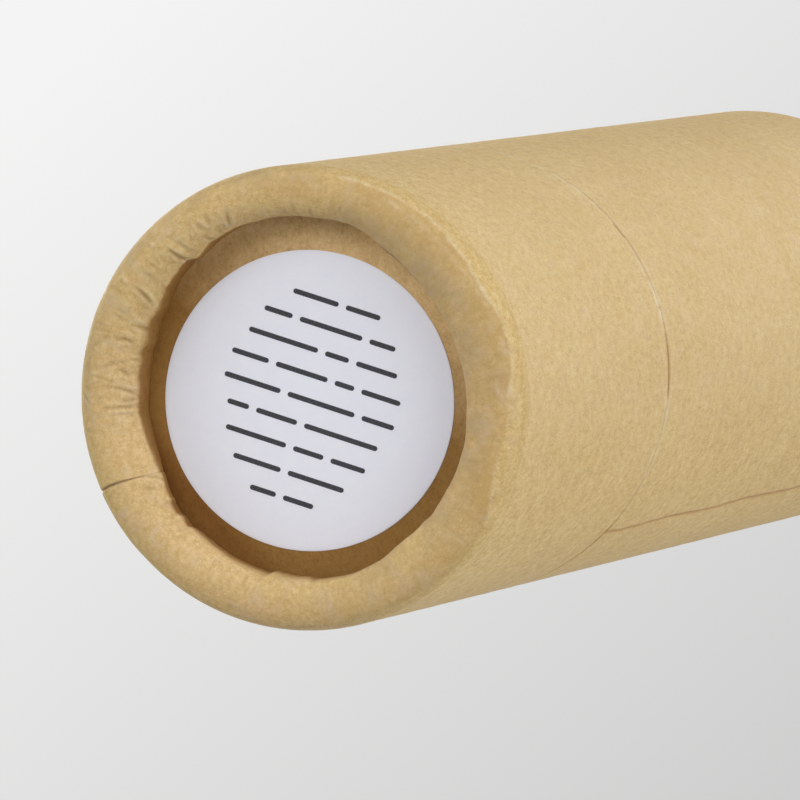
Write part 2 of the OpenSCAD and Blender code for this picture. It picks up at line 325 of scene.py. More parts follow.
def paper_relief(spec, angles, r0, rim_angle, length):
    """Height of the paper's relief, and the strength of each thing that its material shows."""
    theta = angles[None, :]
    u = theta / 360
    rim = rim_angle[:, None]
    along = length[:, None]
    seed = spec["seed"]
    flat = 0 * along
    everywhere = flat + 0 * theta
    run = length - length[np.flatnonzero(r0 == r0.max())[-1]]

    def run_at(angle):
        return float(np.interp(angle, rim_angle, run))

    strokes = make_strokes(spec["strokes"], run_at, seed)
    strokes += [(spot, run_at(angle), *rest) for spot, angle, *rest in spec["marks"]]
    worked, groove, crest = stroke_field(angles, run, r0, strokes)
    raised, line, lip = lap_field(theta, rim, along, spec)
    ridge = ridge_field(theta, rim, spec)

    folds = 1 - np.abs(layered(u + 0.004 * np.sin(along * 3), along * 1.5, 84, seed + 20, 2))
    fine_folds = 1 - np.abs(layered(u, along * 3.1, 190, seed + 24, 2))
    pucker = layered(u, along * 2.2, 150, seed + 10, 3)
    slack = layered(u, 0.4 + flat, 11, seed + 30, 2)
    waves = layered(u, along * 0.5, 5, seed + 40)
    grain = layered(u, along * 2.0, 110, seed + 50)

    rolled = smooth(rim, 5, 60)
    inner = smooth(rim, 55, 120)
    to_leg_end = 1 - 0.75 * smooth(rim, 205, LEG_END_AT)
    push = WAVE_HIGH * waves + GRAIN_HIGH * grain
    push = push + rolled * SLACK_HIGH * slack + inner * INNER_SLACK_HIGH * slack
    crumple = FOLDS_HIGH * (folds - 0.62) + FINE_FOLDS_HIGH * (fine_folds - 0.6)
    crumple = crumple + CRUMPLED_PUCKER_HIGH * pucker
    push = push + smooth(rim, 35, 100) * zone_weight(theta, spec["crumpled"]) * crumple
    push = push + smooth(rim, 20, 70) * PUCKER_HIGH * pucker
    push = push + worked * to_leg_end
    push = push + smooth(rim, 118, 165) * to_leg_end * scallop(theta, spec["scallops"], seed + 5)
    push = push + raised - LAP_LINE_DEEP * line * (1 - 0.3 * inner)
    push = push + RIDGE_HIGH * ridge

    def patchy(base, swing, scale, cells, shift, most):
        return np.clip(base + swing * layered(u, along * scale, cells, seed + shift), 0, most)

    burnished = spec["burnished"]
    past_edge = rim - by_direction(theta, burnished, 1)
    browned = smooth(past_edge, -2, 7) * (1 - 0.65 * smooth(rim, 88, 128))
    browned = browned * by_direction(theta, burnished, 2)
    outside = by_direction(theta, spec["painted_light"], 1)
    inside = by_direction(theta, spec["painted_light"], 2)
    rough = patchy(0.35, 1, 0.9, 70, 80, 1)
    lip_start = by_direction(theta, spec["lip"], 1)
    fields = {
        # painted shade in the grooves
        "crease_shade": np.clip(groove / STROKE_FULL, 0, 0.5),
        "lap": np.clip(line * (1 - 0.5 * smooth(rim, 100, 160)), 0, 1),
        "scuff": np.clip(
            ridge * (0.35 + 0.9 * rough) + crest / STROKE_FULL + 0.25 * lip * rough, 0, 1),
        "fray": by_direction(theta, spec["mouth"], 1) + everywhere,
        "gap": by_direction(theta, spec["mouth"], 2) + everywhere,
        # greyish soil: partly dirt, partly painted shade
        "soil_and_shade": spec["soil_and_shade"](theta, rim) * patchy(0.6, 0.8, 1, 60, 90, 1.3),
        "rolled": rolled + everywhere,
        "burnish": browned * patchy(0.8, 0.5, 1, 34, 95, 1.2),
        # painted shade towards the slope's inner edge and on the leg
        "deep": by_direction(theta, spec["lip"], 2) * smooth(rim, lip_start, 186),
        # painted shade at the leg's foot, deep in the recess
        "painted_foot_shade": smooth(rim, 168, 204) + everywhere,
        # painted light: the roll paler on its lit side
        "painted_light": outside * smooth(rim, 8, 45) + (inside - outside) * smooth(rim, 60, 115),
    }
    return push, fields


def place_object(name, data):
    """An object for a mesh, lamp or camera, in the scene."""
    made = bpy.data.objects.new(name, data)
    bpy.context.scene.collection.objects.link(made)
    return made


def paper_mesh(name, spec):
    """The facing paper of a base or cap, with its rim at height 0, as one closed sheet."""
    r0, z0, rim_angle, length, normal = rolled_profile(spec["height"], spec["rings"])
    angles = column_angles(spec["columns"], spec["seam"])
    push, fields = paper_relief(spec, angles, r0, rim_angle, length)
    theta = angles[None, :]
    rim = rim_angle[:, None]
    along = length[:, None]

    r = r0[:, None] + push * normal[:, 0][:, None] - inward_lean(theta, rim, spec["lean"])
    r = np.minimum(r, np.where(rim >= 150, FOLD_R + FACING - LEG_ROOM, TUBE_R))
    uneven = EDGE_UNEVEN * layered(theta / 360, 0.5 + 0 * along, 130, spec["seed"] + 70, 3)
    edge = FRAYED_RISE * fields["fray"] - JOINT_SHORT * fields["gap"] - EDGE_SHORT + uneven
    z = z0[:, None] + push * normal[:, 1][:, None] + np.exp(-along / EDGE_REACH) * edge
    z = np.maximum(z, 0.0)

    back = backing_profile(spec["height"])
    back_r = np.repeat(back[:, 0][:, None], len(angles), axis=1)
    back_z = np.repeat(back[:, 1][:, None], len(angles), axis=1)
    back_z[-1] = np.minimum(back_z[-1], z[0] - BACK_SHORT)
    all_r = np.concatenate([r, back_r])
    all_z = np.concatenate([z, back_z])
    if spec["turned"]:
        all_z = CAP_TOP - all_z
    a = np.radians(theta)
    points = np.stack([all_r * np.cos(a), all_r * np.sin(a), all_z], axis=-1)

    rows, columns = all_r.shape
    i = np.repeat(np.arange(rows), columns)
    j = np.tile(np.arange(columns), rows)
    corners = [(i, j), (i + 1, j), (i + 1, j + 1), (i, j + 1)]
    if not spec["turned"]:
        corners = corners[::-1]
    faces = np.stack([ci % rows * columns + cj % columns for ci, cj in corners], axis=1)
    mesh = bpy.data.meshes.new(name)
    mesh.from_pydata((points.reshape(-1, 3) * MM).tolist(), [], faces.tolist())
    mesh.polygons.foreach_set("use_smooth", np.ones(len(faces), dtype=bool))

    map_u = np.radians(np.concatenate([angles, [360.0]])) * TUBE_R
    stretch = np.where(rim_angle[1:] == 0, LONG_GRAIN, 1.0)
    map_v = np.concatenate([[0], np.cumsum(np.diff(length) * stretch)])
    map_v = np.concatenate([map_v, map_v[-1] + 0.1 * np.arange(1, len(back) + 2)])
    uv = np.stack([np.stack([map_u[cj], map_v[ci]], axis=-1) for ci, cj in corners], axis=1)
    layer = mesh.uv_layers.new(name="paper")
    layer.data.foreach_set("uv", uv.reshape(-1).astype(np.float32))
    hidden = np.zeros(back_r.shape)
    for title, field in fields.items():
        values = np.concatenate([field, hidden]).reshape(-1).astype(np.float32)
        mesh.attributes.new(title, "FLOAT", "POINT").data.foreach_set("value", values)
    mesh.validate()
    return place_object(name, mesh)


# Materials

# What the paper's wear and dirt turn it into, its painted sheen, shade and light, and the tones
# that it is multiplied by
BURNISHED = (0.55, 0.335, 0.125)
FROSTED_AND_SHEEN = (0.69, 0.53, 0.34)
SOILED_AND_SHADED = (0.40, 0.290, 0.165)
# Painted shade in the paper's grooves
CREASE_SHADE_TONE = (0.27, 0.150, 0.050)
LAP_ON_BODY = (0.420, 0.205, 0.060)
LAP_ON_ROLL = (0.170, 0.100, 0.048)
SCUFFED = (0.84, 0.73, 0.52)
FRAYED = (0.88, 0.75, 0.50)
JOINT_BROWN = (0.44, 0.205, 0.050)
SPECK = (0.34, 0.22, 0.10)
# Painted light: the tone that makes the roll's lit side paler
PAINTED_ROLL_LIGHT = (1.10, 1.085, 1.17)
PAINTED_LIP_SHADE = (0.51, 0.375, 0.225)
PAINTED_FOOT_SHADE = (0.80, 0.77, 0.72)
# The base disc's painted light and shade: painted shade in the recess, a darker painted shadow on
# one side, and painted light where light reaches it
PAINTED_RECESS_SHADE = (0.43, 0.325, 0.175)
PAINTED_SHADOW_TONE = (0.68, 0.57, 0.44)
PAINTED_DISC_LIGHT = (1.15, 1.14, 1.16)
# Directions of the disc's paler lit half, its darkest shadowed side and its lit side, all painted
# light and shade, and the radius at which they are strongest
LIT_HALF_SIDE = 216.0
SHADOW_SIDE = 60.0
LIT_SIDE = 112.0
SIDE_R = 6.8

# Kraft paper and board as three tones: dark, middle and pale
KRAFT_TONES = ((0.560, 0.360, 0.130), (0.740, 0.520, 0.216), (0.855, 0.670, 0.344))
DISC_TONES = ((0.60, 0.39, 0.17), (0.80, 0.55, 0.255), (0.88, 0.66, 0.35))
BOARD_TONES = ((0.36, 0.26, 0.15), (0.54, 0.41, 0.26), (0.70, 0.58, 0.42))
LINING_TONES = ((0.74, 0.69, 0.60), (0.84, 0.80, 0.72), (0.90, 0.87, 0.81))
LABEL_TONES = ((0.865, 0.88, 0.965), (0.895, 0.91, 0.99))
# The label's faint glow: painted light, not a lamp
LABEL_PAINTED_GLOW = (0.86, 0.87, 1.0, 1.0)
INK_TONES = ((0.035, 0.036, 0.042), (0.075, 0.076, 0.085))
# Soft materials: tones, their clouds' noise, the grain's noise, roughness, relief's strength and
# depth, and how much light goes in and how deep
PLASTIC = (
    ((0.80, 0.79, 0.75), (0.86, 0.85, 0.81)), (0.35, 2.0, 0.5), (8.0, 3.0, 0.6), (0.34, 0.46),
    0.3, 0.00001, 0.08, (0.0010, 0.0009, 0.0008))
BALM = (
    ((0.80, 0.68, 0.40), (0.88, 0.79, 0.54)), (0.45, 4.0, 0.6, 0.6), (6.0, 3.0, 0.6), (0.30, 0.48),
    0.35, 0.00003, 0.25, (0.0016, 0.0011, 0.0006))

# Depths of the paper's and the label's relief, in metres
PAPER_RELIEF = 0.00003
LABEL_RELIEF = 0.00002


def start_material(name):
    material = bpy.data.materials.new(name)
    material.use_nodes = True
    material.node_tree.nodes.clear()
    return material, material.node_tree


def add(tree, kind, inputs=None, **settings):
    """A shader node with its settings. An input is a value, or a socket that is linked to it."""
    made = tree.nodes.new("ShaderNode" + kind)
    for key, value in settings.items():
        setattr(made, key, value)
    for key, value in (inputs or {}).items():
        if isinstance(value, bpy.types.NodeSocket):
            tree.links.new(value, made.inputs[key])
        else:
            made.inputs[key].default_value = value
    return made


def calc(tree, operation, a, b=0.0, clamp=False):
    inputs = {0: a, 1: b}
    return add(tree, "Math", inputs, operation=operation, use_clamp=clamp).outputs[0]


def times(tree, a, b, clamp=False):
    return calc(tree, "MULTIPLY", a, b, clamp)


def plus(tree, a, b):
    return calc(tree, "ADD", a, b)


def centred(tree, value):
    """A noise about its middle."""
    return calc(tree, "SUBTRACT", value, 0.5)


def blend(tree, factor, a, b, how="MIX"):
    """Colour a, with as much of colour b as the factor says."""
    made = add(tree, "Mix", data_type="RGBA", blend_type=how)
    # The colour sockets of this node are the factor and inputs 6 and 7
    for socket, value in ((made.inputs[0], factor), (made.inputs[6], a), (made.inputs[7], b)):
        if isinstance(value, bpy.types.NodeSocket):
            tree.links.new(value, socket)
        elif isinstance(value, (int, float)):
            socket.default_value = value
        else:
            socket.default_value = (*value, 1.0)
    return made.outputs[2]


def shade(tree, factor, colour, tone):
    """The colour, multiplied by the tone as far as the factor says."""
    return blend(tree, factor, colour, tone, "MULTIPLY")


def spread(tree, value, low, high, to_low=0.0, to_high=1.0):
    """A value mapped from one range to another, and held at the ends."""
    inputs = {
        "Value": value, "From Min": low, "From Max": high, "To Min": to_low, "To Max": to_high}
    return add(tree, "MapRange", inputs).outputs[0]


def level(tree, value, to_low, to_high):
    """A noise's usual range mapped to another."""
    return spread(tree, value, 0.3, 0.7, to_low, to_high)


def noise(tree, place, scale, detail=2.0, rough=0.5, twist=0.0):
    inputs = {
        "Vector": place, "Scale": scale, "Detail": detail, "Roughness": rough, "Distortion": twist}
    return add(tree, "TexNoise", inputs).outputs["Fac"]


def attribute(tree, name):
    return add(tree, "Attribute", attribute_name=name).outputs["Fac"]


def apart(tree, vector):
    return add(tree, "SeparateXYZ", {0: vector}).outputs


def sheet_place(tree):
    """Millimetres along the paper sheet, from its own map."""
    return add(tree, "UVMap", uv_map="paper").outputs[0]


def object_place(tree):
    """Millimetres in the object's own frame."""
    inputs = {0: add(tree, "TexCoord").outputs["Object"], "Scale": 1 / MM}
    return add(tree, "VectorMath", inputs, operation="SCALE").outputs[0]


def neck_place(tree):
    """Millimetres round and along a tube that has no map of its own."""
    x, y, z = apart(tree, object_place(tree))
    inputs = {0: times(tree, calc(tree, "ARCTAN2", y, x), NECK_R), 1: z}
    return add(tree, "CombineXYZ", inputs).outputs[0]


def fibres(tree, place, turn_deg, shift, stretch, scale, sharp):
    """Thin curved lines, about as long as stretch times their spacing."""
    mapping = add(tree, "Mapping", {
        "Vector": place, "Location": (shift, shift * 0.7, shift * 1.3),
        "Rotation": (0, 0, math.radians(turn_deg)), "Scale": (scale / stretch, scale, scale)})
    value = noise(tree, mapping.outputs[0], 1.0, 1.5, 0.45, 0.35)
    return spread(tree, calc(tree, "ABSOLUTE", centred(tree, value)), 0.0, sharp, 1.0, 0.0)


def stretched(tree, place, along, across, detail, rough, twist=0.0):
    """Noise that is drawn out round the tube."""
    mapping = add(tree, "Mapping", {
        "Vector": place, "Scale": (1 / along, 1 / across, 1 / across)})
    return noise(tree, mapping.outputs[0], 1.0, detail, rough, twist)


def total_of(tree, parts):
    """The weighted sum of noises, each taken about its middle."""
    total = 0.0
    for value, weight in parts:
        total = plus(tree, total, times(tree, centred(tree, value), weight))
    return total


def fine_paper(tree, place, tones):
    """Kraft paper's own look: clouds, streaks, a felt of pale and dark fibres, and a few specks.

    It gives the colour, the relief's height, and the patches and the felt for what lies on them.
    """
    dark, mid, pale = tones
    cloud = noise(tree, place, 0.22, 2.0, 0.5)
    patch = noise(tree, place, 1.1, 3.0, 0.6)
    mottle = noise(tree, place, 2.2, 3.0, 0.7)
    streak = stretched(tree, place, 2.6, 0.42, 3.0, 0.6, 0.4)
    felt = noise(tree, place, 4.2, 4.0, 0.75)
    grit = noise(tree, place, 13.0, 2.0, 0.7)
    long_pale = fibres(tree, place, 8, 3.1, 7.0, 3.2, 0.035)
    cross_pale = fibres(tree, place, 74, 9.4, 6.0, 3.6, 0.030)
    slant_dark = fibres(tree, place, -38, 17.7, 6.0, 3.0, 0.028)
    pale_mask = spread(tree, noise(tree, place, 0.9, 2.0), 0.42, 0.68)
    dark_mask = spread(tree, noise(tree, place, 1.3, 2.0, 0.5, 0.3), 0.48, 0.70)
    pale_fibre = times(tree, calc(tree, "MAXIMUM", long_pale, cross_pale), pale_mask)
    dark_fibre = times(tree, slant_dark, dark_mask)
    tone = total_of(tree, (
        (cloud, 0.35), (patch, 0.60), (mottle, 0.85), (streak, 0.25), (felt, 2.00), (grit, 1.50)))
    tone = plus(tree, tone, times(tree, pale_fibre, 0.20))
    tone = calc(tree, "SUBTRACT", tone, times(tree, dark_fibre, 0.20))
    colour = blend(tree, times(tree, tone, 1.6, clamp=True), mid, pale)
    colour = blend(tree, times(tree, tone, -1.6, clamp=True), colour, dark)
    spot = add(tree, "TexVoronoi", {"Vector": place, "Scale": 0.45, "Randomness": 1.0})
    some = spread(tree, noise(tree, place, 0.5, 1.0), 0.50, 0.60)
    speck = times(tree, spread(tree, spot.outputs["Distance"], 0.015, 0.040, 0.5, 0.0), some)
    colour = blend(tree, speck, colour, SPECK)
    height = plus(tree, times(tree, pale_fibre, 0.5), times(tree, felt, 1.1))
    height = plus(tree, height, times(tree, grit, 0.5))
    return colour, height, patch, felt


def close_material(tree, inputs, height=None, bump=0.0, depth=0.0):
    """The shader with these inputs, and with a relief where a height is given."""
    if height is not None:
        relief = {"Strength": bump, "Distance": depth, "Height": height}
        inputs["Normal"] = add(tree, "Bump", relief).outputs[0]
    shader = add(tree, "BsdfPrincipled", inputs)
    add(tree, "OutputMaterial", {0: shader.outputs[0]})


def close_paper(tree, colour, rough, height, bump):
    inputs = {"Base Color": colour, "Roughness": rough, "Specular IOR Level": 0.28}
    close_material(tree, inputs, height, bump, PAPER_RELIEF)


def plain_paper(name, place_of, tones):
    """Paper or board with its own look only."""
    material, tree = start_material(name)
    colour, height, patch, _ = fine_paper(tree, place_of(tree), tones)
    close_paper(tree, colour, level(tree, patch, 0.66, 0.88), height, 0.5)
    return material


def facing_material(name, tones):
    """The facing paper, with the wear, dirt and painted light and shade of its rolled end, its lap
    line and its frayed mouth.
    """
    material, tree = start_material(name)
    place = sheet_place(tree)
    dark, _, pale = tones
    colour, height, patch, felt = fine_paper(tree, place, tones)
    rolled = attribute(tree, "rolled")

    burnish = level(tree, patch, 0.50, 0.85)
    burnish = times(tree, attribute(tree, "burnish"), burnish)
    colour = blend(tree, burnish, colour, BURNISHED)
    worn = times(tree, centred(tree, noise(tree, place, 2.4, 3.0, 0.65)), 1.3)
    worn = times(tree, worn, rolled)
    colour = blend(tree, calc(tree, "MAXIMUM", worn, 0.0), colour, pale)
    colour = blend(tree, calc(tree, "MAXIMUM", times(tree, worn, -1.0), 0.0), colour, dark)
    # Pale greyish patches on the roll: rubbed paper and painted sheen
    frost_and_sheen = spread(tree, noise(tree, place, 0.8, 3.0, 0.6, 0.5), 0.52, 0.70, 0.0, 0.45)
    colour = blend(tree, times(tree, rolled, frost_and_sheen), colour, FROSTED_AND_SHEEN)
    # Painted light: the roll made paler where light falls on it
    colour = shade(tree, attribute(tree, "painted_light"), colour, PAINTED_ROLL_LIGHT)
    dirt_and_shade = level(tree, felt, 0.35, 0.85)
    # Greyish tone: partly dirt, and partly painted shade on the slope and on the roll's outside
    dirt_and_shade = times(tree, attribute(tree, "soil_and_shade"), dirt_and_shade, clamp=True)
    colour = blend(tree, dirt_and_shade, colour, SOILED_AND_SHADED)
    # Painted shade: the grooves darkened where shade falls in them
    colour = blend(tree, times(tree, attribute(tree, "crease_shade"), 0.75), colour, CREASE_SHADE_TONE)
    lap = times(tree, attribute(tree, "lap"), level(tree, felt, 0.62, 1.0))
    colour = blend(tree, lap, colour, blend(tree, rolled, LAP_ON_BODY, LAP_ON_ROLL))
    rub = spread(tree, felt, 0.35, 0.65, 0.45, 1.0)
    rub = times(tree, attribute(tree, "scuff"), rub, clamp=True)
    colour = blend(tree, times(tree, rub, 0.75), colour, SCUFFED)
    # Painted shade towards the inner edge and down the leg into the recess
    colour = shade(tree, attribute(tree, "deep"), colour, PAINTED_LIP_SHADE)
    # Painted shade at the leg's foot, deep in the recess
    colour = shade(tree, attribute(tree, "painted_foot_shade"), colour, PAINTED_FOOT_SHADE)

    from_mouth = times(tree, apart(tree, place)[1], 1 / LONG_GRAIN)
    ragged = plus(tree, from_mouth, times(tree, centred(tree, felt), 0.5))
    torn = spread(tree, stretched(tree, place, 0.55, 0.30, 3.0, 0.6), 0.36, 0.56)
    fray = times(tree, spread(tree, ragged, 0.10, 0.60, 0.80, 0.0), torn, clamp=True)
    colour = blend(tree, times(tree, fray, attribute(tree, "fray")), colour, FRAYED)
    joint_line = spread(tree, from_mouth, 0.14, 0.32, 0.95, 0.0)
    joint_line = times(tree, joint_line, attribute(tree, "gap"))
    colour = blend(tree, joint_line, colour, JOINT_BROWN)

    rough = level(tree, patch, 0.62, 0.84)
    rough = calc(tree, "SUBTRACT", rough, times(tree, rolled, 0.12))
    close_paper(tree, colour, rough, height, 0.45)
    return material


def recess_material(name, tones):
    """The end disc: painted shade in the recess, painted light on its lit half and on one lit side,
    and a darker painted shadow on one side.
    """
    material, tree = start_material(name)
    place = object_place(tree)
    colour, height, patch, _ = fine_paper(tree, place, tones)
    across, up, _ = apart(tree, place)

    def towards(side):
        x = times(tree, across, math.cos(math.radians(side)) / SIDE_R)
        y = times(tree, up, math.sin(math.radians(side)) / SIDE_R)
        return plus(tree, plus(tree, x, y), times(tree, patch, 0.12))

    # Painted shade over the disc except towards its lit half, then a darker painted shadow on one
    # side and painted light on another
    painted_recess_shadow = calc(tree, "SUBTRACT", 1.0, spread(tree, towards(LIT_HALF_SIDE), 0.15, 0.92))
    colour = shade(tree, painted_recess_shadow, colour, PAINTED_RECESS_SHADE)
    colour = shade(tree, spread(tree, towards(SHADOW_SIDE), 0.92, 1.08), colour, PAINTED_SHADOW_TONE)
    colour = shade(tree, spread(tree, towards(LIT_SIDE), 0.70, 1.02), colour, PAINTED_DISC_LIGHT)
    close_paper(tree, colour, level(tree, patch, 0.70, 0.88), height, 0.5)
    return material


def label_material():
    """Smooth white label stock with a faint mottle, and a faint glow of painted light that keeps it
    evenly bright.
    """
    material, tree = start_material("label_stock")
    place = object_place(tree)
    mottle = noise(tree, place, 1.3, 3.0, 0.6)
    fine = noise(tree, place, 9.0, 2.0, 0.5)
    tone = plus(tree, times(tree, mottle, 0.7), times(tree, fine, 0.3))
    close_material(tree, {
        "Base Color": blend(tree, spread(tree, tone, 0.35, 0.65), *LABEL_TONES),
        "Roughness": 0.6, "Specular IOR Level": 0.25,
        "Emission Color": LABEL_PAINTED_GLOW, "Emission Strength": 0.08}, mottle, 0.25, LABEL_RELIEF)
    return material


def ink_material():
    """Near-black ink, a little speckled."""
    material, tree = start_material("label_ink")
    speckle = noise(tree, object_place(tree), 14.0, 2.0, 0.6)
    close_material(tree, {
        "Base Color": blend(tree, spread(tree, speckle, 0.35, 0.7), *INK_TONES),
        "Roughness": 0.6, "Specular IOR Level": 0.25})
    return material


def soft_material(name, tones, cloud, grain, rough, bump, depth, weight, radius):
    """Plastic or wax: two clouded tones, light in its depth, a fine grain in gloss and relief."""
    material, tree = start_material(name)
    place = object_place(tree)
    texture = noise(tree, place, *grain)
    close_material(tree, {
        "Base Color": blend(tree, level(tree, noise(tree, place, *cloud), 0.0, 1.0), *tones),
        "Roughness": level(tree, texture, *rough), "Subsurface Weight": weight,
        "Subsurface Radius": radius}, texture, bump, depth)
    return material


# Tables of the facing papers. Directions and rim angles are in degrees, lengths in millimetres

# Zones of ridges and grooves: first and last direction, count, height, rim angles, slant
BASE_STROKES = (
    (91, 168, 46, 0.038, 72, 165, 0.28),
    (93, 150, 12, 0.03, 50, 120, 0.5),
    (168, 206, 14, 0.036, 95, 168, 0.12),
    (206, 338, 18, 0.016, 55, 130, 0.25),
    (2, 66, 16, 0.026, 128, 172, 0.2),
    (338, 362, 6, 0.02, 110, 165, 0.2),
)
# Single creases: direction, rim angle, slant, bend, half length, half width, height
BASE_MARKS = (
    (101.7, 141, -0.31, 0.1, 1.02, 0.08, -0.06),
    (99.1, 154, 0.16, 0.05, 0.68, 0.08, -0.065),
    (96.8, 136, 0.02, 0.06, 1.08, 0.09, -0.05),
    (95.2, 128, 0.02, 0.06, 0.9, 0.11, 0.055),
    (92.6, 122, 0.04, 0.04, 0.8, 0.1, 0.035),
    (117.8, 127, -0.14, 0.04, 0.38, 0.08, -0.07),
    (107.8, 134, -0.61, 0.04, 0.32, 0.08, -0.065),
    (132.5, 123, -0.35, 0.05, 0.66, 0.08, -0.085),
    (133.9, 121, -0.35, 0.05, 0.6, 0.1, 0.04),
    (148.4, 134, 0.01, 0.05, 0.6, 0.08, -0.085),
    (149.9, 129, 0.2, 0.05, 0.64, 0.09, 0.055),
    (167.9, 126, -0.34, 0.05, 0.6, 0.08, -0.07),
    (159.4, 155, 0.23, 0.04, 0.45, 0.08, -0.07),
    (161.1, 115, 0.39, 0.08, 0.55, 0.09, 0.045),
    (125.2, 106, -0.22, 0.08, 0.6, 0.09, 0.045),
    (122.8, 159, -0.05, 0.04, 0.56, 0.08, -0.06),
    (152.3, 110, 0.37, 0.06, 0.6, 0.08, 0.045),
    (112.7, 104, 0.5, 0.06, 0.55, 0.08, 0.035),
    (105.8, 118, 0.27, 0.06, 0.5, 0.08, 0.035),
    (72.6, 152, -0.46, 0.06, 0.79, 0.07, -0.05),
    (71.1, 152, -0.45, 0.06, 0.8, 0.08, 0.035),
    (69.7, 137, -0.55, 0.04, 0.47, 0.07, -0.045),
    (91.5, 45, -0.22, 0.06, 1.12, 0.06, -0.02),
)
BASE_CRUMPLED = ((98, 160, 1), (160, 204, 0.35), (66, 73, 0.1), (0, 50, 0.14), (210, 335, 0.1))
BASE_SCALLOPS = (
    (0, 16, 6, 0.06), (16, 69, 20, 0.11), (69, 92, 3, 0.01), (92, 170, 22, 0.045),
    (170, 206, 8, 0.03), (206, 340, 16, 0.025), (340, 358, 3, 0.03),
)
# The inner edge: direction, and how far it leans in at the fold and at the disc
BASE_LEAN = (
    (0, -0.05, 0), (16, 0.05, 0.05), (30, 0.1, 0.08), (42, 0.11, 0.08), (48, 0.14, 0.1),
    (55, 0.22, 0.12), (65, 0.21, 0.14), (68, 0.36, 0.24), (72, 0.5, 0.36), (80, 0.52, 0.54),
    (86, 0.42, 0.54), (92.5, 0.36, 0.52), (95, 0.25, 0.46), (99, 0.3, 0.5), (106, 0.27, 0.5),
    (113, 0.29, 0.5), (114.5, 0.22, 0.45), (120, 0.28, 0.46), (125.8, 0.13, 0.36),
    (130.5, 0.19, 0.38), (134.5, 0.13, 0.3), (137, 0.01, 0.2), (144.5, -0.1, 0.08),
    (148.5, -0.09, 0.08), (151.5, 0.11, 0.18), (157.8, -0.03, 0.06), (163, -0.1, 0.02),
    (169, -0.07, 0), (176, -0.04, 0), (189, 0.01, 0), (196, 0.07, 0.05), (206, 0.09, 0.2),
    (211, 0.19, 0.5), (218, 0.42, 0.95), (232, 0.6, 1.1), (246, 0.66, 1.12), (253, 0.69, 0.95),
    (262, 0.7, 0.74), (270, 0.66, 0.66), (276, 0.61, 0.72), (281, 0.56, 0.86), (288, 0.53, 0.84),
    (294, 0.46, 0.62), (300, 0.41, 0.4), (307, 0.34, 0.25), (312, 0.34, 0.2), (318, 0.3, 0.18),
    (322, 0.25, 0.16), (325, 0.32, 0.2), (331, 0.3, 0.2), (338, 0.26, 0.18), (343, 0.15, 0.1),
    (348, 0.05, 0.05), (355, -0.06, 0),
)
# Where the browned part of the roll starts: direction, rim angle, strength
BASE_BURNISHED = (
    (0, 52, 0.45), (60, 54, 0.45), (90, 60, 0.4), (160, 62, 0.45), (200, 50, 0.7),
    (213, 47, 0.9), (228, 49, 0.95), (243, 58, 1), (252, 62, 1), (257, 53, 1),
    (265, 50, 1), (273, 55, 1), (279, 70, 1), (288, 68, 1), (296, 72, 1), (304, 67, 1),
    (310, 49, 0.9), (318, 34, 0.75), (327, 26, 0.6), (340, 36, 0.5),
)
# Where painted shade starts to darken the slope towards its inner edge: direction, rim angle,
# strength
BASE_LIP = (
    (0, 143, 1), (24, 144, 1), (40, 154, 1), (60, 166, 1), (100, 168, 1), (112, 154, 1),
    (120, 146, 1), (132, 162, 1), (150, 170, 1), (180, 167, 0.9), (200, 163, 0.5), (212, 160, 0.3),
    (252, 160, 0.3), (268, 154, 0.9), (300, 150, 1), (318, 150, 1), (336, 152, 1), (345, 146, 1),
)
# Where painted light makes the roll paler on its lit side: direction, strength outside the crest,
# strength inside it
BASE_PAINTED_LIGHT = (
    (0, 0.4, 0), (12, 0.8, 0.1), (24, 0.9, 0.4), (36, 0.6, 0.9), (48, 0.4, 1), (60, 0.15, 1.15),
    (72, 0, 1.5), (80, 0, 1.15), (96, 0, 1.15), (108, 0, 0.8), (120, 0, 0.1),
    (132, 0, 0), (336, 0, 0),
)
# The mouth at the joint: direction, how far it is frayed, and how far its brown line shows
BASE_MOUTH = (
    (0, 0.3, 0.5), (60, 0.8, 0), (120, 0.5, 0.3), (180, 0.7, 0.1), (216, 0.8, 0),
    (228, 1.1, 0), (233, 0.9, 0.15), (234, 0.6, 0.4), (235, 0.9, 0), (238.5, 0.8, 0.1),
    (239.5, 0.1, 1), (243, 0.1, 1), (244.5, 0.8, 0.2), (250, 0.9, 0.3), (256, 0.8, 0.25),
    (260, 1.3, 0), (266, 1.3, 0), (268, 0.8, 0.1), (271, 0.4, 0.45), (277, 0.1, 0.75),
    (286, 0.1, 0.75), (287.5, 1.3, 0), (289, 1.2, 0), (290, 0.4, 0.35), (294, 0.4, 0.25),
    (298, 0.5, 0.25), (306, 0.7, 0.1), (312, 0.4, 0.3), (318, 0.2, 0.15), (324.5, 0.1, 0.1),
    (325.5, 0, 0.95), (345, 0, 1),
)
CAP_STROKES = (
    (180, 262, 60, 0.07, 62, 168, 0.28),
    (262, 400, 34, 0.04, 95, 168, 0.2),
    (60, 180, 30, 0.03, 90, 165, 0.25),
)
CAP_MARKS = (
    (214, 120, 0.15, 0.06, 0.9, 0.07, -0.1),
    (243, 132, -0.15, 0.06, 0.8, 0.07, -0.1),
    (196, 108, -0.25, 0.1, 0.95, 0.06, -0.08),
)
CAP_CRUMPLED = ((184, 260, 0.9), (280, 350, 0.3), (20, 150, 0.25))
CAP_LEAN = (
    (0, 0.1, 0.1), (40, 0.35, 0.6), (75, 0.5, 0.8), (110, 0.42, 0.3), (140, 0.2, 0.1),
    (182, 0.1, 0.05), (205, 0.3, 0.15), (224, 0.12, 0.05), (246, 0.28, 0.15), (268, 0.05, 0),
    (310, 0.3, 0.25), (336, 0.05, 0),
)
CAP_BURNISHED = (
    (0, 54, 0.5), (40, 48, 0.9), (75, 60, 1), (120, 52, 0.9), (180, 60, 0.5), (300, 56, 0.45),
)
